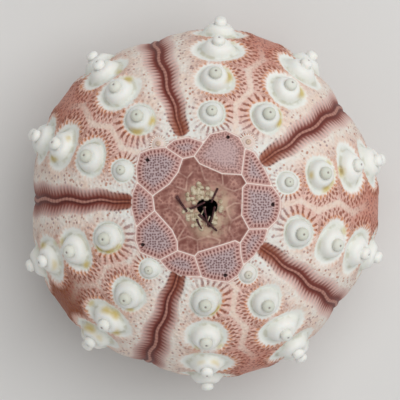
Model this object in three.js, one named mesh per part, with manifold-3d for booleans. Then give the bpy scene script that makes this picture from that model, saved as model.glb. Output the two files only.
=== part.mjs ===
// Test of a cidaroid sea urchin: the empty shell, spines gone, with the plates of its apical disc in place.
// Millimetres, +Z up. The origin is on the resting plane, under the middle of the outline seen from above.

import * as THREE from 'three';
import { ConvexHull } from 'three/addons/math/ConvexHull.js';
import { mergeVertices } from 'three/addons/utils/BufferGeometryUtils.js';
import Module from 'manifold-3d';

const wasm = await Module();
wasm.setup();

const { degToRad, lerp, smoothstep } = THREE.MathUtils;

// Body of the test: a flat crown above the widest height, a rounder underside, a flat rim around the mouth
const BODY_RADIUS = 26;
const BODY_HEIGHT = 32.6;
const WIDEST_HEIGHT = 15.2;
const CROWN_POWER = 2.3;
const RIM_RADIUS = 12.6;
const RIM_SIDES = 40;
const MOUTH_RADIUS = 11;
const WALL = 2;
const BULGE = 0.35;

// The axis stands this far off the origin, which is under the middle of the knobbed outline
const AXIS_X = -0.25;

// Five sectors; each is an ambulacrum in the middle with half an interambulacrum on both sides
const SECTORS = 5;
const SECTOR = 2 * Math.PI / SECTORS;
const FIRST_AMBULACRUM = degToRad(34.8);

// Ambulacrum: a winding band with a low middle ridge between two furrows
const BAND_START = 10.4;
const BAND_FADE = 1.6;
const BAND_LINES = [
  { offset: degToRad(-4.8), depth: 0 },
  { offset: degToRad(-1.4), depth: 0.6 },
  { offset: 0, depth: 0.15 },
  { offset: degToRad(1.4), depth: 0.6 },
  { offset: degToRad(4.8), depth: 0 },
];
const SWAY = 0.2;

// Zigzag seam down the middle of an interambulacrum
const SEAM_LIFT = 0.15;
const SEAM_ZIGZAG = 0.7;

// Primary tubercles: two columns in each interambulacrum, one plate every PLATE_PITCH along the meridian
const FIRST_PLATE = 12.3;
const PLATE_PITCH = 5.85;
const PLATE_SHRINK = 0.28;
const FULL_PLATES = 3;
const CROWDED_BELOW = 14;
const CROWDING = 0.25;
const COLUMN_ANGLE = degToRad(15.5);
const COLUMN_LAG = 0.47;
const YOUNGEST_PLATE = 10.6;
const FULL_GROWTH = 14.6;
const YOUNG_SIZE = 0.42;
const YOUNG_HEIGHT = 0.55;
const UNDERSIDE_START = 36;
const LAST_PLATE = 51;
const UNDERSIDE_SIZE = 0.5;

// Each interambulacrum's turn off the even fifths, and how far the plates of its leading and lagging column
// have moved away from the disc
const INTERAMBULACRA = [
  { turn: degToRad(-0.6), shifts: [0, -0.3] },
  { turn: degToRad(-1.8), shifts: [0.7, 0.8] },
  { turn: degToRad(-0.2), shifts: [0, 0.5] },
  { turn: degToRad(0.6), shifts: [-0.4, -0.1] },
  { turn: 0, shifts: [-0.7, -0.5] },
];

// One full-grown tubercle, ring by ring from the mamelon down to the collar around the dished areole:
// reach is the ring's radius along the skin, radius and height are where the ring stands above the body
const TUBERCLE_TOP = 2.25;
const TUBERCLE_RINGS = [
  { reach: 0.4, radius: 0.66, height: 2.08, sides: 6 },
  { reach: 0.75, radius: 0.97, height: 1.6, sides: 8 },
  { reach: 1.05, radius: 0.86, height: 1.14, sides: 8 },
  { reach: 1.4, radius: 1.36, height: 1.1, sides: 8 },
  { reach: 2.1, radius: 2.1, height: -0.3, sides: 8 },
  { reach: 2.8, radius: 2.8, height: 0.26, sides: 9 },
];
const SMALL_RINGS = TUBERCLE_RINGS.slice(1).map((ring) => ({ ...ring, sides: 6 }));
const SMALL_SIZE = 0.85;
const BOSS_REACH = 1.4;
const BOSS_FOOT = 2;
const DISH_REACH = 2.8;

// Areoles are narrow and round next to the disc; further down they widen, sideways most of all
const NARROW_DISH = 2.42;
const DISH_STRETCH = 0.36;
const WIDENING_START = 14;
const WIDENING_END = 24;

// Apical disc: five low genital plates around the plated membrane, and the vent in its middle
const PLATE_MIDDLE = 7.7;
const PLATE_RELIEF = 0.22;
const PLATE_EDGE = 0.86;
const PLATE_CORNERS = [
  [-2.3, -2.3], [2.3, -2.3], [3.4, -0.2], [2.2, 2.2], [0, 2.7], [-2.2, 2.2], [-3.4, -0.2],
];
const MEMBRANE_ARC = 3.6;
const MEMBRANE_SIDES = 10;
const VENT_CORNERS = [
  [-0.9, 0.3], [0.2, 0.9], [1.9, 0.5], [2, -0.8], [1.3, -2.6], [0.6, -2.6], [-0.6, -1.3],
];
const VENT_DEPTH = 6;

// Loose slivers caught in the vent: both ends as [x, y, height above the crown], and the thickness
const SLIVERS = [
  { from: [-3.8, 1, 0.2], to: [-2.3, -1.2, 0.25], thickness: 0.42 },
  { from: [-1.9, -0.8, 0.24], to: [0.2, 0.1, 0.3], thickness: 0.36 },
  { from: [2.1, 2.1, 0.22], to: [1.2, 0.1, 0.24], thickness: 0.34 },
  { from: [-0.6, -1.6, 0.25], to: [2, -4, 0.22], thickness: 0.42 },
  { from: [0.1, -0.5, 0.65], to: [0.7, -3.3, 0.6], thickness: 0.3 },
  { from: [-0.9, -2.3, 0.22], to: [-0.2, -3.7, 0.2], thickness: 0.3 },
  { from: [1.7, -0.5, 0.25], to: [1.1, -2.8, 0.68], thickness: 0.3 },
];
const SLIVER_SIDES = 6;
const SLIVER_TAPER = 0.55;

const CALCITE = new THREE.MeshStandardMaterial({ color: 0xd9c4b8, roughness: 0.65, metalness: 0 });
const DARK_SLIVER = new THREE.MeshStandardMaterial({ color: 0x2a1a1c, roughness: 0.5, metalness: 0 });

// Meridian of the body, from the apex down past the widest height to the rim. Each entry has the arc length
// from the apex, the radius and height, the tilt of the outward normal, and the colatitude of the same place
// on a sphere that the body maps to with its small shapes kept.
const MERIDIAN_STEPS = 1000;
const RIM_ANGLE = Math.acos(RIM_RADIUS / BODY_RADIUS);
const MERIDIAN = meridianTable();
const RIM_ARC = MERIDIAN[MERIDIAN_STEPS].arc;

function meridianPoint(angle) {
  if (angle < 0) {
    const reach = Math.sin(-angle) / Math.sin(RIM_ANGLE);
    return { r: BODY_RADIUS * Math.cos(angle), z: WIDEST_HEIGHT * (1 - reach) };
  }
  const power = 2 / CROWN_POWER;
  const crown = BODY_HEIGHT - WIDEST_HEIGHT;
  const r = BODY_RADIUS * Math.pow(Math.max(Math.cos(angle), 0), power);
  return { r, z: WIDEST_HEIGHT + crown * Math.pow(Math.sin(angle), power) };
}

function meridianTable() {
  const table = [{ arc: 0, r: 0, z: BODY_HEIGHT, tilt: 0, spread: -Infinity }];
  for (let step = 1; step <= MERIDIAN_STEPS; step += 1) {
    const angle = Math.PI / 2 - (Math.PI / 2 + RIM_ANGLE) * step / MERIDIAN_STEPS;
    const { r, z } = meridianPoint(angle);
    const last = table[step - 1];
    const length = Math.hypot(r - last.r, z - last.z);
    const spread = step === 1 ? Math.log(r) : last.spread + 2 * length / (r + last.r);
    table.push({ arc: last.arc + length, r, z, tilt: Math.atan2(last.z - z, r - last.r), spread });
  }
  const widest = table.reduce((best, entry) => (entry.r > best.r ? entry : best));
  return table.map((entry) => {
    const colatitude = 2 * Math.atan(Math.exp(entry.spread - widest.spread));
    return { ...entry, colatitude };
  });
}

function meridianAt(arc) {
  const found = MERIDIAN.findIndex((entry) => entry.arc >= arc);
  return MERIDIAN[found < 0 ? MERIDIAN_STEPS : found];
}

// Unit vector at an azimuth that leans from straight up by the given angle
function lean(azimuth, angle) {
  const across = Math.sin(angle);
  return new THREE.Vector3(across * Math.cos(azimuth), across * Math.sin(azimuth), Math.cos(angle));
}

// Point of the body at an azimuth and arc length, moved out along the normal by lift
function surfacePoint(azimuth, arc, lift) {
  const { r, z, tilt } = meridianAt(arc);
  const point = new THREE.Vector3(r * Math.cos(azimuth), r * Math.sin(azimuth), z);
  const swell = -BULGE * Math.cos(SECTORS * (azimuth - FIRST_AMBULACRUM)) * Math.sin(tilt);
  return point.addScaledVector(lean(azimuth, tilt), lift + swell);
}

// A skin point has its real place and its direction on the sphere that the skin is meshed on
function skinPoint(azimuth, arc, place) {
  return { place, direction: lean(azimuth, meridianAt(arc).colatitude) };
}

function plainPoint(azimuth, arc, lift) {
  return skinPoint(azimuth, arc, surfacePoint(azimuth, arc, lift));
}

function interambulacrumAzimuth(sector) {
  return FIRST_AMBULACRUM + (sector - 0.5) * SECTOR + INTERAMBULACRA[sector].turn;
}

// Rows at half the plate pitch, from an arc length down to just above the rim
function halfPitchRows(start) {
  const rows = [];
  for (let arc = start; arc < RIM_ARC - PLATE_PITCH / 4; arc += PLATE_PITCH / 2) {
    rows.push(arc);
  }
  return rows;
}

// Ambulacra: furrow and ridge lines that wind once per plate
function bandPoints(sector) {
  const middle = FIRST_AMBULACRUM + sector * SECTOR;
  return [BAND_START, ...halfPitchRows(FIRST_PLATE)].flatMap((arc) => {
    const wave = Math.cos(2 * Math.PI * (arc - FIRST_PLATE) / PLATE_PITCH);
    const sway = SWAY * wave * smoothstep(arc, BAND_START, FULL_GROWTH) / meridianAt(arc).r;
    const grown = smoothstep(arc, BAND_START, BAND_START + BAND_FADE);
    const centre = middle + sway;
    return BAND_LINES.map(({ offset, depth }) => plainPoint(centre + offset, arc, -depth * grown));
  });
}

// Interambulacra: the raised zigzag seam between the two columns of plates
function seamPoints(sector) {
  const middle = interambulacrumAzimuth(sector);
  return halfPitchRows(FIRST_PLATE).map((arc, row) => {
    const zigzag = SEAM_ZIGZAG * (row % 2 ? 1 : -1) / meridianAt(arc).r;
    return plainPoint(middle + zigzag, arc, SEAM_LIFT);
  });
}

// One tubercle: raised collar, dished areole, conical boss with a platform, round mamelon on its neck
function tuberclePoints(azimuth, arc) {
  const size = tubercleSize(arc);
  const rise = size * lerp(YOUNG_HEIGHT, 1, smoothstep(arc, YOUNGEST_PLATE, FULL_GROWTH));
  const wide = smoothstep(arc, WIDENING_START, WIDENING_END);
  const narrowing = (lerp(NARROW_DISH, DISH_REACH, wide) - BOSS_FOOT) / (DISH_REACH - BOSS_FOOT);
  const up = lean(azimuth, meridianAt(arc).tilt);
  const across = new THREE.Vector3(-Math.sin(azimuth), Math.cos(azimuth), 0);
  const down = new THREE.Vector3().crossVectors(across, up);
  const foot = surfacePoint(azimuth, arc, 0);
  const points = [skinPoint(azimuth, arc, foot.clone().addScaledVector(up, TUBERCLE_TOP * rise))];
  for (const { reach, radius, height, sides } of size < SMALL_SIZE ? SMALL_RINGS : TUBERCLE_RINGS) {
    const inDish = smoothstep(reach, BOSS_REACH, DISH_REACH);
    const stretch = 1 + DISH_STRETCH * wide * inDish;
    const past = Math.max(reach - BOSS_FOOT, 0) * (1 - narrowing);
    for (let side = 0; side < sides; side += 1) {
      const turn = 2 * Math.PI * (side + 0.25) / sides;
      const sideways = Math.cos(turn) * stretch * size;
      const downwards = Math.sin(turn) * size;
      const ringArc = arc + (reach - past) * downwards;
      const ringAzimuth = azimuth + (reach - past) * sideways / meridianAt(ringArc).r;
      const onBody = surfacePoint(ringAzimuth, ringArc, height * rise);
      const onBoss = foot.clone().addScaledVector(across, (radius - past) * sideways);
      onBoss.addScaledVector(down, (radius - past) * downwards).addScaledVector(up, height * rise);
      const place = onBoss.lerp(onBody, inDish);
      points.push(skinPoint(ringAzimuth, ringArc, place));
    }
  }
  return points;
}

// Arc length of a plate's middle: crowded next to the disc, even on the crown, closing up on the underside
function plateArc(plate, shift) {
  const past = Math.max(plate - FULL_PLATES, 0);
  const arc = FIRST_PLATE + PLATE_PITCH * plate - PLATE_SHRINK * past * past + shift;
  return arc + CROWDING * Math.max(CROWDED_BELOW - arc, 0);
}

function tubercleSize(arc) {
  const grown = lerp(YOUNG_SIZE, 1, smoothstep(arc, YOUNGEST_PLATE, FULL_GROWTH));
  return grown * lerp(1, UNDERSIDE_SIZE, smoothstep(arc, UNDERSIDE_START, LAST_PLATE));
}

function columnPoints(sector, column) {
  const azimuth = interambulacrumAzimuth(sector) + (column === 0 ? COLUMN_ANGLE : -COLUMN_ANGLE);
  const shift = INTERAMBULACRA[sector].shifts[column];
  const points = [];
  for (let plate = column * COLUMN_LAG - 1; plateArc(plate, shift) < LAST_PLATE; plate += 1) {
    const arc = plateArc(plate, shift);
    if (arc > YOUNGEST_PLATE) {
      points.push(...tuberclePoints(azimuth, arc));
    }
  }
  return points;
}

// One genital plate: its outline on the crown and a smaller one raised by the plate's relief
function genitalPlatePoints(sector) {
  const middle = interambulacrumAzimuth(sector);
  const corner = (x, y, lift) => {
    const arc = Math.hypot(PLATE_MIDDLE + y, x);
    return plainPoint(middle + Math.atan2(x, PLATE_MIDDLE + y), arc, lift);
  };
  return PLATE_CORNERS.flatMap(([x, y]) => [
    corner(x, y, 0), corner(x * PLATE_EDGE, y * PLATE_EDGE, PLATE_RELIEF)]);
}

function ringPoints(arc, sides) {
  return Array.from({ length: sides }, (_, side) => plainPoint(2 * Math.PI * side / sides, arc, 0));
}

function rimPoints() {
  const ring = ringPoints(RIM_ARC, RIM_SIDES);
  ring.forEach(({ place }) => place.setZ(0));
  const base = { place: new THREE.Vector3(0, 0, 0), direction: new THREE.Vector3(0, 0, -1) };
  return [...ring, base];
}

// Closed skin: points on a sphere are joined by their convex hull, then moved to their real places
function skinGeometry(points) {
  const hull = new ConvexHull().setFromPoints(points.map(({ direction }) => direction));
  const order = new Map(points.map(({ direction }, index) => [direction, index]));
  const indexAt = (face, corner) => order.get(face.getEdge(corner).head().point);
  const indices = hull.faces.flatMap((face) => [0, 1, 2].map((corner) => indexAt(face, corner)));
  const geometry = new THREE.BufferGeometry().setFromPoints(points.map(({ place }) => place));
  geometry.setIndex(indices);
  return geometry;
}

function makeSkin() {
  const points = [...rimPoints(), ...ringPoints(MEMBRANE_ARC, MEMBRANE_SIDES), plainPoint(0, 0, 0)];
  for (let sector = 0; sector < SECTORS; sector += 1) {
    points.push(...bandPoints(sector), ...seamPoints(sector), ...genitalPlatePoints(sector));
    points.push(...columnPoints(sector, 0), ...columnPoints(sector, 1));
  }
  return toSolid(skinGeometry(points));
}

// Inside of the test: the meridian moved in by the wall, open downwards through the mouth
const CAVITY_ROWS = 11;
const CAVITY_SIDES = 36;
const LIP_HEIGHT = 1.2;

function makeCavity() {
  const profile = [new THREE.Vector2(0, -WALL), new THREE.Vector2(MOUTH_RADIUS, -WALL)];
  profile.push(new THREE.Vector2(MOUTH_RADIUS, LIP_HEIGHT));
  for (let row = CAVITY_ROWS - 1; row > 0; row -= 1) {
    const { r, z, tilt } = meridianAt(RIM_ARC * row / CAVITY_ROWS);
    profile.push(new THREE.Vector2(r - WALL * Math.sin(tilt), z - WALL * Math.cos(tilt)));
  }
  profile.push(new THREE.Vector2(0, BODY_HEIGHT - WALL));
  return toSolid(new THREE.LatheGeometry(profile, CAVITY_SIDES).rotateX(Math.PI / 2));
}

function makeVent() {
  const outline = new THREE.Shape(VENT_CORNERS.map(([x, y]) => new THREE.Vector2(x, y)));
  const geometry = new THREE.ExtrudeGeometry(outline, { depth: VENT_DEPTH, bevelEnabled: false });
  return toSolid(geometry.translate(0, 0, BODY_HEIGHT - VENT_DEPTH / 2));
}

// Closed geometry to solid and back
function toSolid(geometry) {
  geometry.deleteAttribute('normal');
  geometry.deleteAttribute('uv');
  const merged = mergeVertices(geometry, 1e-4);
  const vertProperties = new Float32Array(merged.attributes.position.array);
  const triVerts = new Uint32Array(merged.index.array);
  return new wasm.Manifold(new wasm.Mesh({ numProp: 3, vertProperties, triVerts }));
}

function toGeometry(solid) {
  const { vertProperties, triVerts } = solid.getMesh();
  const geometry = new THREE.BufferGeometry();
  geometry.setAttribute('position', new THREE.BufferAttribute(vertProperties, 3));
  geometry.setIndex(new THREE.BufferAttribute(triVerts, 1));
  geometry.computeVertexNormals();
  return geometry;
}

function makeTest() {
  const solid = makeSkin().subtract(makeCavity()).subtract(makeVent());
  const mesh = new THREE.Mesh(toGeometry(solid), CALCITE);
  mesh.name = 'test';
  return mesh;
}

function makeSliver({ from, to, thickness }, index) {
  const start = new THREE.Vector3(...from);
  const end = new THREE.Vector3(...to);
  const radius = thickness / 2;
  const length = start.distanceTo(end);
  const geometry = new THREE.CylinderGeometry(radius * SLIVER_TAPER, radius, length, SLIVER_SIDES);
  const mesh = new THREE.Mesh(geometry, DARK_SLIVER);
  mesh.name = `sliver_${index + 1}`;
  mesh.position.copy(start).lerp(end, 0.5);
  mesh.position.z += BODY_HEIGHT;
  mesh.quaternion.setFromUnitVectors(new THREE.Vector3(0, 1, 0), end.sub(start).normalize());
  return mesh;
}

const urchin = new THREE.Group();
urchin.name = 'sea_urchin_test';
urchin.position.x = AXIS_X;
urchin.add(makeTest());
SLIVERS.forEach((sliver, index) => urchin.add(makeSliver(sliver, index)));

export default urchin;
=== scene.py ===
"""Looks of a cidaroid sea urchin test seen from above: the knobbed, spotted shell with its apical plates,
the grains and loose slivers in its vent, and a plain studio around it. Lengths are millimetres until a
mesh is made; meshes are in metres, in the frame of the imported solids."""

import math

import bpy
import numpy as np
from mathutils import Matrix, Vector
from mathutils.geometry import delaunay_2d_cdt


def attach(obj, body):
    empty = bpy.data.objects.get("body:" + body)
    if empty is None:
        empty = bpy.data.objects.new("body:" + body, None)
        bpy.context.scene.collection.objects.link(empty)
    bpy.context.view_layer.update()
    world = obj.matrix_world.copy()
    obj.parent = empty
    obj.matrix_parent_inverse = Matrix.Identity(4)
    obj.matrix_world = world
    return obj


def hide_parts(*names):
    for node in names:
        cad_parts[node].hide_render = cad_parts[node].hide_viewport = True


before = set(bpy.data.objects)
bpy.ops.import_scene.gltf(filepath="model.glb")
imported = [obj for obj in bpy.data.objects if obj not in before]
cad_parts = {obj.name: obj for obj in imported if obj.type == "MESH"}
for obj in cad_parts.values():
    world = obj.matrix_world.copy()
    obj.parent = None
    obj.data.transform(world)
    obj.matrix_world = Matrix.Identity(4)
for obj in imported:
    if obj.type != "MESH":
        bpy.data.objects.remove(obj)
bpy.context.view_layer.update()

MM = 0.001

# Body of the test, as in the solids
BODY_RADIUS = 26.0
BODY_HEIGHT = 32.6
WIDEST_HEIGHT = 15.2
CROWN_POWER = 2.3
RIM_RADIUS = 12.6
MOUTH_RADIUS = 11.0
LIP_HEIGHT = 1.2
WALL = 2.0
BULGE = 0.35
AXIS_X = -0.25
SECTORS = 5
SECTOR = 2 * math.pi / SECTORS
FIRST_AMBULACRUM = math.radians(34.8)

# Primary tubercles, as in the solids
FIRST_PLATE = 12.3
PLATE_PITCH = 5.85
PLATE_SHRINK = 0.28
FULL_PLATES = 3
CROWDED_BELOW = 14.0
CROWDING = 0.25
COLUMN_ANGLE = math.radians(15.5)
COLUMN_LAG = 0.47
YOUNGEST_PLATE = 10.6
FULL_GROWTH = 14.6
YOUNG_SIZE = 0.42
UNDERSIDE_START = 36.0
LAST_PLATE = 51.0
UNDERSIDE_SIZE = 0.5
INTERAMBULACRA = [
    (math.radians(-0.6), (0.0, -0.3)),
    (math.radians(-1.8), (0.7, 0.8)),
    (math.radians(-0.2), (0.0, 0.5)),
    (math.radians(0.6), (-0.4, -0.1)),
    (0.0, (-0.7, -0.5)),
]

# One full-grown tubercle: mamelon on a neck, platform, boss, dished areole and the collar of spotted ridges.
# Each level has its reach along the skin, and the radius and height where it stands.
MAMELON_REACH = 0.95
MAMELON_RADIUS = 0.95
MAMELON_MIDDLE = 1.6
MAMELON_HEIGHT = 0.65
MAMELON_TURN = math.radians(120)
PINHOLE_REACH = 0.1
PINHOLE_DEPTH = 0.2
MAMELON_STEPS = 24
BOSS_LEVELS = [
    (1.05, 0.86, 1.08), (1.2, 1.08, 1.16), (1.35, 1.32, 1.13), (1.5, 1.56, 1.0), (1.65, 1.77, 0.78),
    (1.85, 1.95, 0.38), (2.0, 2.03, -0.04), (2.12, 2.11, -0.22), (2.28, 2.28, -0.25), (2.45, 2.46, -0.2),
    (2.62, 2.62, -0.1), (2.78, 2.78, 0.01), (2.95, 2.95, 0.08), (3.3, 3.3, 0.13), (4.2, 4.2, 0.06),
    (5.2, 5.2, 0.0),
]
BOSS_REACH = 1.4
BOSS_FOOT = 2.0
DISH_REACH = 2.8
NARROW_DISH = 2.42
DISH_STRETCH = 0.36
WIDE_DISHES = (14.0, 24.0)
UNEVEN_DISH = 0.12
COLLAR_RISE = (2.6, 2.95)
COLLAR_FALL = (3.7, 4.15)
SPOTS = 22
MORE_SPOTS = 30
RIDGE_RELIEF = 0.24
RIDGE_ROOM = (0.1, 0.4)
PLAIN_SIDE = (0.4, 0.75)
PLAIN_SHARE = 0.8
YOUNG_HEIGHT = 0.55
RIPE_PLATE = 16.5
# Lower-left side: fields and bands painted browner there for real rust-brown colour, and darker as painted
# shade where less light falls.
RUST_AND_SHADE_SIDE = math.radians(210)
RUST_AND_SHADE_SPAN = (0.3, 0.95)

# Ambulacra: winding band, its half width as a share of the radius, with ribs one pore pair apart
BAND_TIP = 11.3
BAND_WIDTH = 0.105
SWAY = 0.2
PORE_PITCH = 0.62
WIDER_PORE_PITCH = 0.76
PORES_WIDEN = (15.0, 29.0)
BAND_SECTION = [(0.0, -0.26), (0.1, -0.3), (0.2, -0.52), (0.32, -0.42), (0.7, -0.18), (1.0, 0.0)]
RIB_RELIEF = 0.06
RIB_SLANT = 0.55
RIBS_START = (0.26, 0.4)
RIBS_END = (0.75, 1.0)
BAND_RISE = (BAND_TIP - 1.0, BAND_TIP + 0.8)
BAND_BLEND = (0.98, 1.12)
OFF_BAND = 1.1
NARROWEST_AT = 8.0

# Camera of the photograph: straight down, with the axis at one pixel and a known scale at one height
PHOTO_SIZE = 400
PHOTO_AXIS = (203.0, 203.0)
PHOTO_SCALE = 0.15
PHOTO_HEIGHT = 17.0
CAMERA_DISTANCE = 400.0
DISC_HEIGHT = 32.2

# Plates of the apical disc, corner by corner, in pixels of the photograph
GENITAL_PLATES = [
    [(246.5, 183), (272, 186), (280, 197), (280, 210), (277, 220), (268, 228.5), (249, 229), (241.5, 215),
     (242.5, 187.5)],
    [(194, 156), (204, 142), (210, 134), (226, 130.5), (239, 137), (245, 148), (241.5, 174.5), (222, 173.5),
     (199.5, 163.5)],
    [(182.5, 158.5), (165, 147), (150, 149), (140, 153), (136, 168), (137, 182), (152.5, 195.7), (169, 184),
     (178, 172)],
    [(154.5, 210.5), (143, 220), (136, 227), (135.5, 240), (140, 252), (159.5, 260), (177.5, 250.5),
     (177, 241), (172, 230)],
    [(235, 240.5), (240, 243), (241, 256), (243.5, 265), (238, 275), (228, 282), (212, 280), (201.5, 277),
     (194.5, 256), (198, 252)],
]
OCULAR_PLATES = [
    [(241.5, 174.5), (245, 148), (254, 152), (262, 164), (268, 176), (272, 186), (246.5, 183)],
    [(165, 147), (174, 140), (188, 137), (204, 142), (194, 156), (182.5, 158.5)],
    [(152.5, 195.7), (137, 182), (132, 194), (131, 208), (136, 227), (143, 220), (154.5, 210.5)],
    [(177.5, 250.5), (159.5, 260), (168, 270), (180, 276), (201.5, 277), (194.5, 256)],
    [(249, 229), (268, 228.5), (264, 242), (254, 256), (243.5, 265), (241, 256), (240, 243)],
]
MEMBRANE = [
    (182.5, 158.5), (194, 156), (199.5, 163.5), (222, 173.5), (241.5, 174.5), (246.5, 183), (242.5, 187.5),
    (241.5, 215), (249, 229), (240, 243), (235, 240.5), (198, 252), (194.5, 256), (177.5, 250.5), (177, 241),
    (172, 230), (154.5, 210.5), (152.5, 195.7), (169, 184), (178, 172),
]
MEMBRANE_SEAMS = [
    [(222, 173.5), (223, 187), (234, 191), (242.5, 187.5)],
    [(241.5, 215), (231, 221), (229, 231), (235, 240.5)],
    [(178, 172), (187, 178), (199.5, 163.5)],
    [(187, 178), (186, 190), (169, 184)],
    [(154.5, 210.5), (170, 208), (180, 216), (172, 230)],
    [(180, 216), (186, 226), (178, 238)],
    [(177, 241), (188, 236), (197, 240), (198, 252)],
    [(197, 240), (208, 236), (220, 240), (219, 244)],
    [(223, 187), (216, 181), (205, 180), (199.5, 163.5)],
    [(231, 221), (226, 208), (234, 203), (241.5, 203)],
]
MADREPORITE = 1
GONOPORES = [(272.5, 204.4), (227.8, 137.2), (147.5, 160), (142.8, 244.5), (225, 275)]
GONOPORE_RADIUS = 0.3
GONOPORE_FLOOR = 0.1
GONOPORE_DEPTH = 0.3
PORE_RINGS = ((0.1, 6), (GONOPORE_RADIUS * 0.65, 10), (GONOPORE_RADIUS, 14))
PLATE_DOME = 0.18
DOME_EDGE = (0.1, 0.6)
SUTURE_BEAD = 0.06
BEAD_EDGE = (0.05, 0.16)
FOLD_TOP = 0.02
FOLD_DEPTH = 0.05
FOLD_EDGE = (0.02, 0.3)
VENT_EDGE = [
    (197, 203), (201, 199.5), (208, 199), (214, 200), (217.5, 204), (217, 210), (214.5, 214), (212.5, 220),
    (211, 226), (207.5, 226.5), (205, 220), (202, 215), (198, 211), (196.5, 207),
]

# Loose slivers, as in the solids: both ends with their height above the crown, and the thickness
SLIVERS = [
    ((-3.8, 1.0, 0.2), (-2.3, -1.2, 0.25), 0.42),
    ((-1.9, -0.8, 0.24), (0.2, 0.1, 0.3), 0.36),
    ((2.1, 2.1, 0.22), (1.2, 0.1, 0.24), 0.34),
    ((-0.6, -1.6, 0.25), (2.0, -4.0, 0.22), 0.42),
    ((0.1, -0.5, 0.65), (0.7, -3.3, 0.6), 0.3),
    ((-0.9, -2.3, 0.22), (-0.2, -3.7, 0.2), 0.3),
    ((1.7, -0.5, 0.25), (1.1, -2.8, 0.68), 0.3),
]
SLIVER_SIDES = 7
SLIVER_RINGS = 6
SLIVER_TAPER = 0.7
SLIVER_BEND = 0.06
SLIVER_UNEVEN = (1.0, 1.2)
SLIVER_ROUGH = (0.9, 1.05)
SLIVER_BREAK = 0.12
SLIVER_FLATNESS = 0.8

# Yellow grains around the vent: patches in pixels of the photograph
GRAIN_PATCHES = [
    [(184, 197), (189, 188), (199, 183), (210, 185), (213, 196), (205, 199), (196, 204), (191, 207)],
    [(217, 196), (221, 200), (222, 212), (219, 216), (216, 213)],
    [(183, 212), (192, 207), (197, 212), (204, 220), (204, 229), (195, 229), (187, 222)],
    [(212, 216), (219, 214), (222, 222), (216, 228), (211, 227)],
]
GRAIN_SPACING = 0.66
GRAIN_SIZES = (0.32, 0.5)
GRAIN_SHAKE = 0.16
GRAIN_ROOM = 0.06
GRAIN_SPIN = 6.28
GRAIN_ROUGH = (0.75, 1.12)
GRAIN_FLATNESS = 0.5
GRAIN_ROWS = [(0.0, 0.85, 1), (0.7, 0.75, 6), (0.98, 0.3, 7), (1.0, -0.4, 7)]

# Pale flakes lying in the vent: both ends in pixels of the photograph, height above the crown and thickness
FLAKES = [
    ((197.6, 215.5), (200.8, 226.0), 0.1, 0.42),
    ((214.6, 212.0), (212.3, 222.5), 0.12, 0.46),
    ((205.4, 207.0), (200.4, 216.2), 0.3, 0.16),
    ((209.5, 216.0), (206.0, 224.5), 0.2, 0.2),
]

# Yellow stains in the crevices of the tubercles, then the places of painted brown shadow in the crevices:
# middle and reach in pixels of the photograph
STAINS = [
    (199, 38, 3.5), (234, 41, 4), (229, 66, 6), (227, 77, 7), (301, 92, 7), (282, 112, 6), (279, 122, 6),
    (121, 74, 5), (128, 78, 6), (137, 129, 8), (151, 121, 6), (331, 161, 5), (339, 172, 7), (335, 185, 7),
    (327, 190, 6), (313, 175, 5), (347, 230, 6), (100, 248, 6), (110, 251, 7), (119, 248, 5), (59, 241, 6),
    (51, 265, 7), (42, 246, 5), (87, 265, 5), (83, 312, 7), (90, 302, 5), (106, 312, 7), (114, 315, 7),
    (130, 312, 6), (89, 330, 8), (97, 340, 6), (115, 333, 6), (219, 310, 7), (213, 314, 5), (222, 349, 6),
    (196, 350, 5), (202, 366, 6), (214, 365, 6), (66, 220, 5), (54, 158, 5), (67, 138, 4), (290, 46, 6),
]
STAIN_AND_SHADOW_EDGE = (0.3, 1.2)
# Painted shadow: brown crevice shadow at the foot of these bosses, where they stand in shade.
BROWN_SHADOW_PATCHES = [(337, 170, 8), (49, 251, 7), (84, 317, 6), (62, 224, 4), (57, 240, 4), (302, 88, 4)]

# Spacing of the mesh's points
CROWN_SPACING = 0.42
UNDERSIDE_SPACING = 0.62
DISC_SPACING = 0.27
SUTURE_SPACING = 0.25
INSIDE_SPACING = 1.3
RIM_POINTS = 180
CLEARANCE = 0.13
VENT_ROOM = 0.5
ROW_STEP = 0.866
FIELD_START = 9.0
FIELD_LEVEL = 4.0
DISC_START = 0.15
UNREACHED = 1e3
LOOKUP_STEPS = 1200
CORNER_ROUNDING = 0.12


def smoothstep(value, low, high):
    share = np.clip((value - low) / (high - low), 0, 1)
    return share * share * (3 - 2 * share)


def wrap(angle):
    return (angle + math.pi) % (2 * math.pi) - math.pi


def columns(*values):
    """Values side by side, one row for each place."""
    return np.stack(values, -1)


def around(count, shift=0.0):
    """Even turns of a closed ring, moved on by a share of one step."""
    return 2 * math.pi * (np.arange(count) + shift) / count


def level_place(azimuth, radius):
    return columns(radius * np.cos(azimuth), radius * np.sin(azimuth))


def lookup(points):
    """Dense table of a polyline whose corners are rounded off, as a function."""
    grid = np.linspace(points[0][0], points[-1][0], LOOKUP_STEPS)
    values = np.interp(grid, [p[0] for p in points], [p[1] for p in points])
    width = int(CORNER_ROUNDING / (grid[1] - grid[0]))
    padded = np.concatenate([np.full(width, values[0]), values, np.full(width, values[-1])])
    kernel = np.hanning(2 * width + 1)
    rounded = np.convolve(padded, kernel / kernel.sum(), mode="same")[width:-width]
    return lambda value: np.interp(value, grid, rounded)


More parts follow.
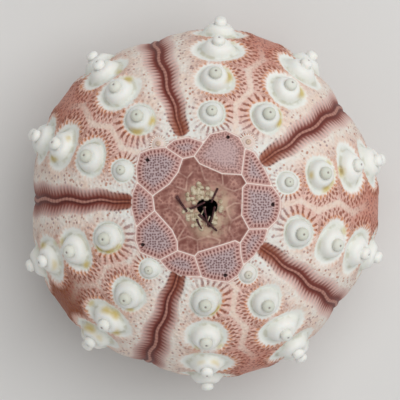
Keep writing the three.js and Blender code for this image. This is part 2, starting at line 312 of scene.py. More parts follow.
# Meridian of the body: arc length from the apex, radius, height, tilt, and the spread that lays it flat
def meridian_table(steps=2000):
    rim_angle = math.acos(RIM_RADIUS / BODY_RADIUS)
    angle = math.pi / 2 - (math.pi / 2 + rim_angle) * np.arange(steps + 1) / steps
    power = 2 / CROWN_POWER
    crown = BODY_HEIGHT - WIDEST_HEIGHT
    above = angle >= 0
    cosine = np.maximum(np.cos(angle), 0)
    sine = np.sin(np.abs(angle))
    radius = BODY_RADIUS * np.where(above, cosine ** power, cosine)
    below = -WIDEST_HEIGHT * sine / math.sin(rim_angle)
    height = WIDEST_HEIGHT + np.where(above, crown * sine ** power, below)
    across = np.diff(radius)
    down = -np.diff(height)
    length = np.hypot(across, down)
    arc = np.concatenate([[0], np.cumsum(length)])
    tilt = np.concatenate([[0], np.arctan2(down, across)])
    middle = (radius[1:] + radius[:-1]) / 2
    spread = np.log(radius[1]) + np.concatenate([[0], np.cumsum(length[1:] / middle[1:])])
    spread = np.concatenate([[spread[0] - 3], spread])
    return arc, radius, height, tilt, spread


ARC, RADIUS, HEIGHT, TILT, SPREAD = meridian_table()
RIM_ARC = ARC[-1]


def radius_at(arc):
    return np.interp(arc, ARC, RADIUS)


def normal_at(azimuth, arc):
    tilt = np.interp(arc, ARC, TILT)
    return columns(np.sin(tilt) * np.cos(azimuth), np.sin(tilt) * np.sin(azimuth), np.cos(tilt))


def body_point(azimuth, arc, lift):
    """Point of the body moved out along its normal; interambulacra bulge a little between the ambulacra."""
    radius = radius_at(arc)
    tilt = np.interp(arc, ARC, TILT)
    swell = -BULGE * np.cos(SECTORS * (azimuth - FIRST_AMBULACRUM)) * np.sin(tilt)
    height = np.interp(arc, ARC, HEIGHT)
    foot = columns(radius * np.cos(azimuth), radius * np.sin(azimuth), height)
    return foot + normal_at(azimuth, arc) * np.asarray(lift + swell)[..., None]


def from_photo(pixels, height=DISC_HEIGHT):
    """Places about the axis, on a level plane, of pixels of the photograph."""
    scale = PHOTO_SCALE * (1 - (height - PHOTO_HEIGHT) / CAMERA_DISTANCE)
    offset = (np.asarray(pixels, float) - PHOTO_AXIS) * scale
    return offset * [1, -1]


def to_photo(places):
    """Pixels of the photograph that places about the axis show at."""
    scale = PHOTO_SCALE * (1 - (places[:, 2:] - PHOTO_HEIGHT) / CAMERA_DISTANCE)
    return places[:, :2] * [1, -1] / scale + PHOTO_AXIS


def stain_and_shadow_at(places, stains):
    """Share of listed patches, of stain and of painted crevice shadow, at places on the crown: 1 in a patch's
    middle, 0 beyond its reach.
    """
    pixels = to_photo(places)
    found = np.zeros(len(places))
    for x, y, reach in stains:
        away = np.linalg.norm(pixels - [x, y], axis=1)
        found = np.maximum(found, 1 - smoothstep(away, *np.multiply(STAIN_AND_SHADOW_EDGE, reach)))
    return found * (places[:, 2] > WIDEST_HEIGHT)


def to_polar(places):
    """Azimuth and arc length of places on the crown."""
    crown = np.argmax(RADIUS)
    radius = np.hypot(places[:, 0], places[:, 1])
    return np.arctan2(places[:, 1], places[:, 0]), np.interp(radius, RADIUS[:crown], ARC[:crown])


# Primary tubercles
def plate_arc(plate, shift):
    past = max(plate - FULL_PLATES, 0)
    arc = FIRST_PLATE + PLATE_PITCH * plate - PLATE_SHRINK * past * past + shift
    return arc + CROWDING * max(CROWDED_BELOW - arc, 0)


def tubercle_table():
    """Columns of numbers, one row for each tubercle."""
    places = []
    for sector, (turn, shifts) in enumerate(INTERAMBULACRA):
        middle = FIRST_AMBULACRUM + (sector - 0.5) * SECTOR + turn
        for column, shift in enumerate(shifts):
            azimuth = middle + (-COLUMN_ANGLE if column else COLUMN_ANGLE)
            plate = column * COLUMN_LAG - 1
            while plate_arc(plate, shift) < LAST_PLATE:
                places.append((azimuth, plate_arc(plate, shift), column))
                plate += 1
    azimuth, arc, column = np.array([place for place in places if place[1] > YOUNGEST_PLATE]).T
    maturity = smoothstep(arc, YOUNGEST_PLATE, FULL_GROWTH)
    shrink = 1 - (1 - UNDERSIDE_SIZE) * smoothstep(arc, UNDERSIDE_START, LAST_PLATE)
    wide = smoothstep(arc, *WIDE_DISHES)
    chance = np.random.default_rng(11).random(len(arc))
    return {
        "azimuth": azimuth, "arc": arc, "column": column.astype(int), "maturity": maturity,
        "size": (YOUNG_SIZE + (1 - YOUNG_SIZE) * maturity) * shrink,
        "stretch": 1 + DISH_STRETCH * wide,
        "dish": NARROW_DISH + (DISH_REACH - NARROW_DISH) * wide,
        "phase": 2 * math.pi * chance,
        "ripe": (arc > RIPE_PLATE).astype(float),
        "spots": np.where(arc > RIPE_PLATE, MORE_SPOTS, SPOTS),
    }


TUBERCLES = tubercle_table()


def tubercle(index):
    return {name: values[index] for name, values in TUBERCLES.items()}


def stretch_at(one, reach):
    return 1 + (one["stretch"] - 1) * smoothstep(reach, BOSS_REACH, DISH_REACH)


def level_at(one, reach):
    """Level of the profile that stands at a reach: dishes near the apex are narrower than the profile's."""
    dish = one["dish"]
    in_dish = BOSS_FOOT + (reach - BOSS_FOOT) * (DISH_REACH - BOSS_FOOT) / (dish - BOSS_FOOT)
    return np.where(reach < BOSS_FOOT, reach, np.where(reach < dish, in_dish, reach + DISH_REACH - dish))


def reach_at(one, level):
    dish = one["dish"]
    in_dish = BOSS_FOOT + (level - BOSS_FOOT) * (dish - BOSS_FOOT) / (DISH_REACH - BOSS_FOOT)
    beyond = level + dish - DISH_REACH
    return np.where(level < BOSS_FOOT, level, np.where(level < DISH_REACH, in_dish, beyond))


def local_place(one, azimuth, arc):
    """Across and down from a tubercle's middle, in its own size, with the stretch of its dish taken out."""
    across = wrap(azimuth - one["azimuth"]) * radius_at(arc) / one["size"]
    down = (arc - one["arc"]) / one["size"]
    reach = np.hypot(across, down)
    for _ in range(3):
        reach = np.hypot(across / stretch_at(one, reach), down)
    return across / stretch_at(one, reach), down, reach


def nearest_tubercle(azimuth, arc):
    """Nearest tubercle of each point, its place there, the gap to the next and the way off the seam."""
    count = len(azimuth)
    best = {"index": np.zeros(count, int), "across": np.zeros(count), "down": np.zeros(count)}
    in_column = np.full((2, count), UNREACHED)
    first = np.full(count, UNREACHED)
    second = np.full(count, UNREACHED)
    for index, column in enumerate(TUBERCLES["column"]):
        across, down, reach = local_place(tubercle(index), azimuth, arc)
        nearer = reach < first
        second = np.where(nearer, first, np.minimum(second, reach))
        first = np.where(nearer, reach, first)
        best["index"] = np.where(nearer, index, best["index"])
        best["across"] = np.where(nearer, across, best["across"])
        best["down"] = np.where(nearer, down, best["down"])
        in_column[column] = np.minimum(in_column[column], reach)
    size = TUBERCLES["size"][best["index"]]
    best["reach"] = first
    best["gap"] = (second - first) / 2 * size
    best["seam"] = (in_column[1] - in_column[0]) / 2 * size
    return best


def mamelon_profile():
    """Radius and height of the mamelon from its pin-hole to the neck, then the levels of the boss."""
    levels = []
    for step in range(MAMELON_STEPS + 1):
        reach = MAMELON_REACH * step / MAMELON_STEPS
        turn = MAMELON_TURN * step / MAMELON_STEPS
        pit = PINHOLE_DEPTH * (1 - smoothstep(reach, PINHOLE_REACH * 0.5, PINHOLE_REACH * 1.2))
        height = MAMELON_MIDDLE + MAMELON_HEIGHT * math.cos(turn) - pit
        levels.append((reach, MAMELON_RADIUS * math.sin(turn), height))
    return levels + BOSS_LEVELS


PROFILE = mamelon_profile()
PROFILE_REACH = [level[0] for level in PROFILE]


def profile_radius(reach):
    inner = np.interp(reach, PROFILE_REACH, [p[1] for p in PROFILE])
    return np.where(reach > PROFILE_REACH[-1], reach, inner)


def profile_height(reach):
    return np.interp(reach, PROFILE_REACH, [p[2] for p in PROFILE])


# Ambulacra
BAND_DEPTH = lookup(BAND_SECTION)
PITCHES = PORE_PITCH + (WIDER_PORE_PITCH - PORE_PITCH) * smoothstep(ARC, *PORES_WIDEN)
PAIRS = np.concatenate([[0], np.cumsum(np.diff(ARC) / PITCHES[1:])])


def sway_at(arc):
    """How far the middle of an ambulacrum winds to the side."""
    wave = np.cos(2 * math.pi * (arc - FIRST_PLATE) / PLATE_PITCH)
    return SWAY * wave * smoothstep(arc, BAND_TIP, FULL_GROWTH)


def band_place(azimuth, arc):
    """Place across the nearest band in half widths, pore pairs along it, and a distance, 1 at its edge."""
    radius = radius_at(arc)
    width = BAND_WIDTH * np.maximum(radius, NARROWEST_AT)
    turn = azimuth - FIRST_AMBULACRUM - sway_at(arc) / np.maximum(radius, 1)
    turn = (turn + SECTOR / 2) % SECTOR - SECTOR / 2
    across = turn * radius / width
    past_tip = np.maximum(BAND_TIP - arc, 0) / width
    return across, np.interp(arc, ARC, PAIRS), np.hypot(across, past_tip)


def band_azimuth(across, arc, sector):
    return FIRST_AMBULACRUM + sector * SECTOR + sway_at(arc) / radius_at(arc) + across * BAND_WIDTH


# Apical disc
def inside(places, outline):
    """Whether places lie inside a closed outline."""
    x, y = places[:, 0], places[:, 1]
    crossed = np.zeros(len(places), bool)
    for (x0, y0), (x1, y1) in zip(outline, np.roll(outline, -1, axis=0)):
        spans = (y0 > y) != (y1 > y)
        at = x0 + (y - y0) * (x1 - x0) / (y1 - y0 if y1 != y0 else 1)
        crossed ^= spans & (x < at)
    return crossed


def nearest_on_line(places, line):
    """Distance of places from a polyline, and how far along it their nearest point lies."""
    nearest = np.full(len(places), UNREACHED)
    along = np.zeros(len(places))
    passed = 0.0
    for start, end in zip(line[:-1], line[1:]):
        side = end - start
        length = np.linalg.norm(side)
        share = np.clip(((places - start) @ side) / length ** 2, 0, 1)
        distance = np.linalg.norm(places - start - share[:, None] * side, axis=1)
        along = np.where(distance < nearest, passed + share * length, along)
        nearest = np.minimum(nearest, distance)
        passed += length
    return nearest, along


def distance_to_line(places, line):
    return nearest_on_line(places, line)[0]


def closed(outline):
    return np.concatenate([outline, outline[:1]])


GENITAL_OUTLINES = [from_photo(plate) for plate in GENITAL_PLATES]
OCULAR_OUTLINES = [from_photo(plate) for plate in OCULAR_PLATES]
MEMBRANE_OUTLINE = from_photo(MEMBRANE)
PLATE_OUTLINES = GENITAL_OUTLINES + OCULAR_OUTLINES + [MEMBRANE_OUTLINE]
MEMBRANE_LINES = [from_photo(line) for line in MEMBRANE_SEAMS]
DISC_REACH = 13.0
FAR = 9.0
ON_LINE = 0.02


def vent_loop(steps=4):
    """Closed smooth loop of the vent's edge, counter-clockwise."""
    corners = from_photo(VENT_EDGE)
    loop = []
    for index in range(len(corners)):
        p0, p1, p2, p3 = (corners[(index + k) % len(corners)] for k in (-1, 0, 1, 2))
        for step in range(steps):
            t = step / steps
            loop.append(0.5 * (2 * p1 + (p2 - p0) * t + (2 * p0 - 5 * p1 + 4 * p2 - p3) * t * t
                               + (3 * p1 - p0 - 3 * p2 + p3) * t ** 3))
    return np.array(loop)[::-1]


VENT = vent_loop()


def disc_place(azimuth, arc):
    """Masks and distances of points on the apical disc."""
    found = {name: np.zeros(len(arc)) for name in ("disc", "membrane", "madreporite", "along")}
    found.update({name: np.full(len(arc), FAR) for name in ("suture", "fold", "pore", "vent")})
    near = np.flatnonzero(arc < DISC_REACH)
    places = level_place(azimuth[near], radius_at(arc[near]))
    sutures = [distance_to_line(places, closed(plate)) for plate in PLATE_OUTLINES]
    found["suture"][near] = np.min(sutures, axis=0)
    for index, outline in enumerate(PLATE_OUTLINES):
        within = inside(places, outline)
        found["disc"][near[within]] = 1
        found["along"][near[within]] = nearest_on_line(places[within], closed(outline))[1]
        if index == MADREPORITE:
            found["madreporite"][near[within]] = 1
        if outline is MEMBRANE_OUTLINE:
            found["membrane"][near[within]] = 1
    on_line = found["suture"] < ON_LINE
    found["disc"][on_line] = 1
    found["membrane"][on_line] = 0
    found["madreporite"][on_line] = 0
    found["fold"][near] = np.min([distance_to_line(places, line) for line in MEMBRANE_LINES], axis=0)
    pores = [np.linalg.norm(places - pore, axis=1) for pore in from_photo(GONOPORES)]
    found["pore"][near] = np.min(pores, axis=0)
    found["vent"][near] = distance_to_line(places, closed(VENT))
    return found


# Skin of the test: where each point of the body really stands, and what the materials need to know there
def band_lift(across, pairs, edge, arc):
    """Depth of the ambulacral band, with its fine ribs across."""
    rib = np.cos(2 * math.pi * (pairs - RIB_SLANT * np.abs(across)))
    ribbed = smoothstep(np.abs(across), *RIBS_START) * (1 - smoothstep(np.abs(across), *RIBS_END))
    tip = smoothstep(arc, *BAND_RISE)
    return (BAND_DEPTH(np.minimum(edge, 1)) + RIB_RELIEF * rib * ribbed) * tip


def disc_lift(disc):
    """Low domes of the apical plates between their sutures, the folds of the membrane and the gonopores."""
    bead = SUTURE_BEAD * (1 - smoothstep(disc["suture"], *BEAD_EDGE))
    plate = PLATE_DOME * smoothstep(disc["suture"], *DOME_EDGE) + bead
    fold = FOLD_TOP - FOLD_DEPTH * smoothstep(disc["fold"], *FOLD_EDGE)
    lift = plate * (1 - disc["membrane"]) + fold * disc["membrane"]
    return lift - GONOPORE_DEPTH * (1 - smoothstep(disc["pore"], GONOPORE_FLOOR, GONOPORE_RADIUS))


def on_boss(one, near, level, lift):
    """Places on a tubercle's own straight axis."""
    foot = body_point(one["azimuth"], one["arc"], np.zeros(len(level)))
    up = normal_at(one["azimuth"], one["arc"])
    sideways = columns(-np.sin(one["azimuth"]), np.cos(one["azimuth"]), np.zeros(len(level)))
    downwards = np.cross(sideways, up)
    share = np.where(level < BOSS_FOOT, profile_radius(level) / np.maximum(level, 1e-6), 1) * one["size"]
    across = near["across"] * share * stretch_at(one, near["reach"])
    down = near["down"] * share
    return foot + sideways * across[:, None] + downwards * down[:, None] + up * lift[:, None]


def skin(azimuth, arc):
    """Where points of the skin stand, and the numbers that the calcite is painted by."""
    near = nearest_tubercle(azimuth, arc)
    one = tubercle(near["index"])
    turn = np.arctan2(near["down"], near["across"])
    waves = np.sin(2 * turn + one["phase"]) + 0.7 * np.sin(3 * turn - 2 * one["phase"])
    level = level_at(one, near["reach"])
    level = level + UNEVEN_DISH * waves * smoothstep(level, BOSS_REACH, DISH_REACH)
    across, pairs, edge = band_place(azimuth, arc)
    disc = disc_place(azimuth, arc)

    middle = (azimuth - FIRST_AMBULACRUM) % SECTOR
    inter = np.abs(middle - SECTOR / 2) / (SECTOR / 2)
    collar = smoothstep(level, *COLLAR_RISE) * (1 - smoothstep(level, *COLLAR_FALL))
    ridge = -np.cos(one["spots"] * turn) / 2 * (1 - PLAIN_SHARE * smoothstep(inter, *PLAIN_SIDE))
    height = profile_height(level) * (YOUNG_HEIGHT + (1 - YOUNG_HEIGHT) * one["maturity"])
    lift = (height + RIDGE_RELIEF * collar * ridge * smoothstep(near["gap"], *RIDGE_ROOM)) * one["size"]
    in_band = 1 - smoothstep(edge, *BAND_BLEND)
    lift = lift * (1 - in_band) + band_lift(across, pairs, edge, arc) * in_band
    lift = lift * (1 - disc["disc"]) + disc_lift(disc) * disc["disc"]
    place = body_point(azimuth, arc, lift)
    own = (1 - smoothstep(near["reach"], BOSS_REACH, DISH_REACH)) * (1 - in_band) * (1 - disc["disc"])
    place += (on_boss(one, near, level, lift) - place) * own[:, None]

    facts = {
        **{name: near[name] for name in ("across", "down", "gap", "seam")},
        "level": level, "maturity": one["maturity"], "ripe": one["ripe"], "arc": arc, "inter": inter,
        # stain holds real yellow stains; brown holds where the brown crevice shadow is painted.
        "stain": stain_and_shadow_at(place, STAINS), "brown": stain_and_shadow_at(place, BROWN_SHADOW_PATCHES),
        "band_across": across, "band_pairs": pairs, "band_edge": edge,
        # Lower-left side mask: real rust-brown colour together with painted shade.
        "rust_and_shade": smoothstep(np.cos(azimuth - RUST_AND_SHADE_SIDE), *RUST_AND_SHADE_SPAN), **disc,
    }
    return place, facts


# Points that the skin is meshed on: rings around every tubercle, ribs along the bands, even points elsewhere
CORE_RINGS = [
    (0.07, 6), (0.16, 8), (0.28, 12), (0.42, 16), (0.56, 19), (0.7, 20), (0.83, 20), (0.95, 19), (1.05, 19),
    (1.2, 23), (1.35, 26), (1.5, 30), (1.65, 32), (1.85, 36), (2.0, 40), (2.12, 42), (2.28, 44), (2.45, 48),
    (2.62, 48),
]
SMALL_CORE = [
    (0.16, 6), (0.4, 10), (0.7, 13), (0.95, 13), (1.2, 15), (1.4, 18), (1.65, 20), (2.0, 24), (2.45, 28),
]
FULL_SIZE = 0.8
COLLAR_REACHES = (2.78, 2.98, 3.25, 3.55, 3.85)
SMALL_COLLAR = (2.85, 3.3, 3.8)
RIB_STEPS = 5
BAND_COLUMNS = (0, 0.1, 0.2, 0.3, 0.45, 0.62, 0.8, 1.0)


def ring_points(one):
    """Azimuth and arc length of the rings around one tubercle."""
    full = one["size"] > FULL_SIZE and one["arc"] < UNDERSIDE_START
    rings = CORE_RINGS if full else SMALL_CORE
    collars = COLLAR_REACHES if full else SMALL_COLLAR
    places = [np.zeros((1, 2))]
    for index, (level, count) in enumerate(rings):
        places.append(columns(np.full(count, level), around(count, 0.5 * (index % 2))))
    count = one["spots"] * (4 if full else 2)
    for level in collars:
        places.append(columns(np.full(count, level), around(count)))
    level, turn = np.concatenate(places).T
    reach = reach_at(one, level)
    arc = one["arc"] + reach * np.sin(turn) * one["size"]
    sideways = reach * np.cos(turn) * stretch_at(one, reach) * one["size"]
    return one["azimuth"] + sideways / radius_at(arc), arc


def tubercle_points():
    found = []
    for index in range(len(TUBERCLES["arc"])):
        azimuth, arc = ring_points(tubercle(index))
        near = nearest_tubercle(azimuth, arc)
        keep = (near["index"] == index) & (near["gap"] > CLEARANCE) & clear_of_rest(azimuth, arc)
        found.append(columns(azimuth[keep], arc[keep]))
    return np.concatenate(found)


def clear_of_rest(azimuth, arc):
    """Points outside the bands, the disc and the rim, with a little room."""
    edge = band_place(azimuth, arc)[2]
    disc = disc_place(azimuth, arc)
    room = CLEARANCE / (BAND_WIDTH * np.maximum(radius_at(arc), NARROWEST_AT))
    off_disc = (disc["disc"] < 0.5) & (disc["suture"] > CLEARANCE)
    return (edge > 1 + room) & off_disc & (arc < RIM_ARC - UNDERSIDE_SPACING / 2)


def band_points():
    first, last = np.interp([BAND_TIP, UNDERSIDE_START], ARC, PAIRS)
    crown = np.interp(np.arange(first, last, 1 / RIB_STEPS), PAIRS, ARC)
    below = np.arange(UNDERSIDE_START, RIM_ARC - 0.3, UNDERSIDE_SPACING)
    arcs = np.concatenate([crown, below])
    offsets = np.array(sorted({-c for c in BAND_COLUMNS} | set(BAND_COLUMNS)))
    found = []
    for sector in range(SECTORS):
        arc, across = (grid.ravel() for grid in np.meshgrid(arcs, offsets, indexing="ij"))
        found.append(columns(band_azimuth(across, arc, sector), arc))
        width = BAND_WIDTH * radius_at(BAND_TIP)
        for share in BAND_COLUMNS[1:]:
            turn = np.linspace(0, math.pi, int(4 + 12 * share))[1:-1]
            arc = BAND_TIP - share * width * np.sin(turn)
            azimuth = FIRST_AMBULACRUM + sector * SECTOR + share * width * np.cos(turn) / radius_at(arc)
            found.append(columns(azimuth, arc))
    return np.concatenate(found)


def even_points(low, high, spacing):
    """Rows of evenly spaced points around the body between two arc lengths."""
    found = []
    for index, arc in enumerate(np.arange(low, high, spacing * ROW_STEP)):
        count = max(int(2 * math.pi * radius_at(arc) / spacing), 3)
        found.append(columns(around(count, 0.5 * (index % 2)), np.full(count, arc)))
    return np.concatenate(found)


def field_points():
    crown = even_points(FIELD_START, UNDERSIDE_START, CROWN_SPACING)
    below = even_points(UNDERSIDE_START, RIM_ARC - UNDERSIDE_SPACING / 2, UNDERSIDE_SPACING)
    points = np.concatenate([crown, below])
    near = nearest_tubercle(points[:, 0], points[:, 1])
    level = level_at(tubercle(near["index"]), near["reach"])
    keep = (level > FIELD_LEVEL) & clear_of_rest(points[:, 0], points[:, 1])
    return points[keep]


def disc_points():
    points = even_points(DISC_START, DISC_REACH, DISC_SPACING)
    disc = disc_place(points[:, 0], points[:, 1])
    places = level_place(points[:, 0], radius_at(points[:, 1]))
    away = (distance_to_line(places, closed(VENT)) > CLEARANCE) & (disc["pore"] > GONOPORE_RADIUS + CLEARANCE)
    off_lines = np.minimum(disc["suture"], disc["fold"]) > CLEARANCE
    edge = band_place(points[:, 0], points[:, 1])[2]
    return points[(disc["disc"] > 0.5) & ~inside(places, VENT) & away & off_lines & (edge > OFF_BAND)]


def suture_points():
    """Points along every suture of the disc and every fold of the membrane, each place once."""
    places = {}
    for line in [closed(outline) for outline in PLATE_OUTLINES] + MEMBRANE_LINES:
        for start, end in zip(line[:-1], line[1:]):
            start, end = sorted((tuple(start), tuple(end)))
            count = max(int(math.dist(start, end) / SUTURE_SPACING), 1)
            for step in range(count + 1):
                place = np.array(start) + (np.array(end) - start) * step / count
                places[tuple(np.round(place, 3))] = place
    found = columns(*to_polar(np.array(list(places.values()))))
    return found[band_place(found[:, 0], found[:, 1])[2] > OFF_BAND]


def pore_points():
    """Middle and rings of every gonopore."""
    rings = [np.zeros((1, 2))]
    for radius, count in PORE_RINGS:
        rings.append(level_place(around(count), radius))
    places = np.concatenate([pore + np.concatenate(rings) for pore in from_photo(GONOPORES)])
    return columns(*to_polar(places))


def rim_points(arc):
    return columns(around(RIM_POINTS), np.full(RIM_POINTS, arc))


def triangulate(points, loop):
    """Triangles between points of given azimuth and arc length, outside the loop of the first points."""
    spread = np.exp(np.interp(points[:, 1], ARC, SPREAD))
    flat = level_place(points[:, 0], spread)
    flat /= np.abs(flat).max()
    edges = [(i, (i + 1) % loop) for i in range(loop)]
    made = delaunay_2d_cdt([Vector(p) for p in flat], edges, [], 0, 1e-9)
    order = np.array([origin[0] for origin in made[3]])
    triangles = order[np.array(made[2])]
    middles = flat[triangles].mean(axis=1)
    return triangles[~inside(middles, flat[:loop])]


def make_mesh(name, places, faces, facts=None, smooth=True):
    """Mesh object from places in millimetres about the axis, with one number per point for each fact."""
    mesh = bpy.data.meshes.new(name)
    mesh.from_pydata((np.asarray(places) + [AXIS_X, 0, 0]) * MM, [], faces)
    for fact, values in (facts or {}).items():
        layer = mesh.attributes.new(fact, "FLOAT", "POINT")
        layer.data.foreach_set("value", np.asarray(values, np.float32))
    mesh.validate()
    if smooth:
        mesh.shade_smooth()
    piece = bpy.data.objects.new(name, mesh)
    bpy.context.scene.collection.objects.link(piece)
    return piece


def inside_surface(loop):
    """Points and places of the hollow: the body moved in by the wall, down to the lip of the mouth."""
    rows = even_points(DISC_SPACING, RIM_ARC * 10 / 11, INSIDE_SPACING)
    flat = level_place(rows[:, 0], radius_at(rows[:, 1]))
    rows = rows[~inside(flat, VENT) & (distance_to_line(flat, closed(VENT)) > VENT_ROOM)]
    lip, mouth = rim_points(RIM_ARC - LIP_HEIGHT), rim_points(RIM_ARC)
    points = np.concatenate([loop, rows, lip, mouth])
    places = body_point(points[:, 0], points[:, 1], np.full(len(points), -WALL))
    for ring, height in ((slice(-2 * RIM_POINTS, -RIM_POINTS), LIP_HEIGHT), (slice(-RIM_POINTS, None), 0.0)):
        places[ring, :2] = level_place(points[ring, 0], MOUTH_RADIUS)
        places[ring, 2] = height
    return points, places


def strip(first, second):
    """Quads between two closed rows of points of one length."""
    return columns(first, np.roll(first, -1), np.roll(second, -1), second)


def make_test():
    loop = columns(*to_polar(VENT))
    points = np.concatenate([loop, tubercle_points(), band_points(), field_points(), disc_points(),
                             suture_points(), pore_points(), rim_points(RIM_ARC)])
    places, facts = skin(points[:, 0], points[:, 1])
    places[-RIM_POINTS:, 2] = 0
    outer = triangulate(points, len(loop))

    hollow, hollow_places = inside_surface(loop)
    start = len(points)
    inner = triangulate(hollow, len(loop))[:, ::-1] + start
    vent = np.arange(len(loop))
    rim = np.arange(start - RIM_POINTS, start)
    mouth = start + np.arange(len(hollow) - RIM_POINTS, len(hollow))
    walls = np.concatenate([strip(vent, vent + start), strip(mouth, rim)])
    faces = outer.tolist() + inner.tolist() + walls.tolist()
    everything = {name: np.concatenate([values, np.full(len(hollow), FAR)]) for name, values in facts.items()}
    for name in ("disc", "membrane", "madreporite"):
        everything[name][start:] = 0
    everything["hollow"] = np.concatenate([np.zeros(start), np.ones(len(hollow))])
    return make_mesh("urchin_test", np.concatenate([places, hollow_places]), faces, everything)


# Loose slivers and the grains around the vent
def make_sliver(name, start, end, thickness, rng):
    """Splinter with a pointed and a broken end, a little bent and uneven along its length."""
    start, end = (np.array([x, y, BODY_HEIGHT + height]) for x, y, height in (start, end))
    along = (end - start) / np.linalg.norm(end - start)
    side = np.cross(along, [0, 0, 1])
    side /= np.linalg.norm(side)
    up = np.cross(side, along)
    bend = side * rng.uniform(-SLIVER_BEND, SLIVER_BEND)
    places = []
    for share in np.linspace(0, 1, SLIVER_RINGS):
        width = thickness / 2 * (1 - (1 - SLIVER_TAPER) * share) * rng.uniform(*SLIVER_UNEVEN)
        middle = start + (end - start) * share + bend * math.sin(math.pi * share)
        for k in range(SLIVER_SIDES):
            turn = 2 * math.pi * k / SLIVER_SIDES
            rough = width * rng.uniform(*SLIVER_ROUGH)
            slip = along * rng.uniform(-SLIVER_BREAK, SLIVER_BREAK) * (share in (0, 1))
            out = side * math.cos(turn) + up * math.sin(turn) * SLIVER_FLATNESS
            places.append(middle + slip + rough * out)
    rings = np.arange(len(places)).reshape(SLIVER_RINGS, SLIVER_SIDES)
    faces = [quad.tolist() for ring, after in zip(rings[:-1], rings[1:]) for quad in strip(after, ring)]
    faces += [rings[0].tolist(), rings[-1][::-1].tolist()]
    return make_mesh(name, places, faces, smooth=False)


def grain_places(rng):
    """Places of the grains: an uneven grid inside each of the patches."""
    found = []
    for patch in GRAIN_PATCHES:
        outline = from_photo(patch)
        low, high = outline.min(axis=0), outline.max(axis=0)
        axes = (np.arange(a, b, GRAIN_SPACING) for a, b in zip(low, high))
        grid = columns(*np.meshgrid(*axes)).reshape(-1, 2)
        grid = grid + rng.uniform(-GRAIN_SHAKE, GRAIN_SHAKE, grid.shape)
        found.append(grid[inside(grid, outline) & (distance_to_line(grid, closed(VENT)) > GRAIN_ROOM)])
    found = np.concatenate(found)
    return found[~inside(found, VENT)]


def make_grains(rng):
    """All the grains as one mesh of low, uneven pebbles."""
    places, faces = [], []
    for x, y in grain_places(rng):
        azimuth, arc = to_polar(np.array([[x, y]]))
        foot = body_point(azimuth, arc, np.zeros(1))[0]
        size = rng.uniform(*GRAIN_SIZES)
        spin = rng.uniform(0, GRAIN_SPIN)
        rings = []
        for width, height, count in GRAIN_ROWS:
            rough = size * width * rng.uniform(*GRAIN_ROUGH, count)
            level = np.full((count, 1), height * size * GRAIN_FLATNESS)
            ring = np.hstack([level_place(spin + around(count), rough), level])
            rings.append(len(places) + np.arange(count))
            places.extend(foot + ring)
        faces += [[int(rings[0][0]), int(a), int(b)] for a, b in zip(rings[1], np.roll(rings[1], -1))]
        faces += zip_rings(rings[1], rings[2])
        faces += [quad.tolist() for quad in strip(rings[3], rings[2])]
        faces.append(rings[3][::-1].tolist())
    return make_mesh("vent_grains", places, faces)


def zip_rings(inner, outer):
    """Triangles between a ring and the next one out, which has one point more."""
    made = []
    count = len(inner)
    for k in range(count):
        made.append([int(inner[k]), int(outer[k]), int(outer[k + 1])])
        made.append([int(inner[k]), int(outer[k + 1]), int(inner[(k + 1) % count])])
    made.append([int(inner[0]), int(outer[count]), int(outer[0])])
    return made


# Materials
def colour(red, green, blue):
    """Linear colour of an sRGB value given in 0 to 255."""
    channels = np.array([red, green, blue]) / 255
    linear = np.where(channels <= 0.04045, channels / 12.92, ((channels + 0.055) / 1.055) ** 2.4)
    return (*linear, 1.0)


WHITE = colour(242, 242, 237)
MILK = colour(230, 231, 226)
CHALK = colour(236, 229, 220)
PEARL = colour(210, 212, 197)
# Grey-olive painted shade for the crease at the boss foot and the neck of the mamelon.
PAINTED_CREASE_SHADE = colour(188, 184, 160)
# Grey-green painted shade for the slopes of the boss and the areole.
PAINTED_SLOPE_SHADE = colour(222, 225, 215)
STAIN = colour(210, 188, 108)
# Dark brown painted shadow for the crevice at the boss foot.
BROWN_CREVICE_SHADOW = colour(112, 82, 42)
CREAM = colour(236, 215, 200)
TAN = colour(204, 160, 128)
BLUSH = colour(231, 196, 183)
SPOT_TAN = colour(200, 128, 76)
SPOT = colour(140, 64, 30)
SPOT_PINK = colour(166, 88, 72)
DOT = colour(190, 132, 108)
DOT_MAUVE = colour(164, 136, 138)
SALMON = colour(204, 140, 122)
# Dark rust brown for the lower-left washes, partly painted shade.
RUST_AND_SHADE_BROWN = colour(148, 80, 46)
MAROON = colour(134, 62, 52)
BAND_DARK = colour(90, 32, 27)
BAND_FLANK = colour(124, 54, 42)
BAND_RIB = colour(220, 178, 168)
BAND_EDGE = colour(228, 208, 200)
BAND_RIDGE = colour(188, 138, 124)
TIP_BROWN = colour(150, 80, 48)
LILAC = colour(190, 168, 169)
ROSE = colour(204, 163, 155)
PLUM = colour(86, 28, 26)
EDGE_RED = colour(110, 44, 38)
MEMBRANE_PINK = colour(190, 142, 128)
MEMBRANE_BROWN = colour(126, 70, 60)
MEMBRANE_TAN = colour(196, 172, 146)
SUTURE = colour(240, 229, 220)
FOLD = colour(218, 182, 166)
# Near-black painted shade for the gonopores, which are only shallow pits in the mesh.
PORE_SHADOW = colour(46, 22, 20)
INSIDE = colour(196, 176, 160)
SLIVER = colour(64, 34, 36)
SLIVER_EDGE = colour(112, 74, 74)
GRAIN = colour(206, 193, 168)
GRAIN_SHADE = colour(168, 148, 120)

# Rows of spots around a tubercle: middle and half length outwards, half width, strength and colour
SPOT_ROWS = [
    (3.0, 0.36, 0.084, 0.8, SPOT_TAN), (3.45, 0.34, 0.074, 0.85, SPOT),
    (3.92, 0.27, 0.062, 0.8, SPOT), (4.4, 0.24, 0.052, 0.7, SPOT_PINK),
]

# Rows of dots along a plate's edge: middle and half length inwards, half width, pitch and colour
PLATE_ROWS = [(0.48, 0.27, 0.16, 0.54, EDGE_RED), (1.0, 0.2, 0.13, 0.48, PLUM)]


# Millimetres that red, green and blue light travels under the skin of the calcite
GLOW_REACH = (0.5, 0.42, 0.36)


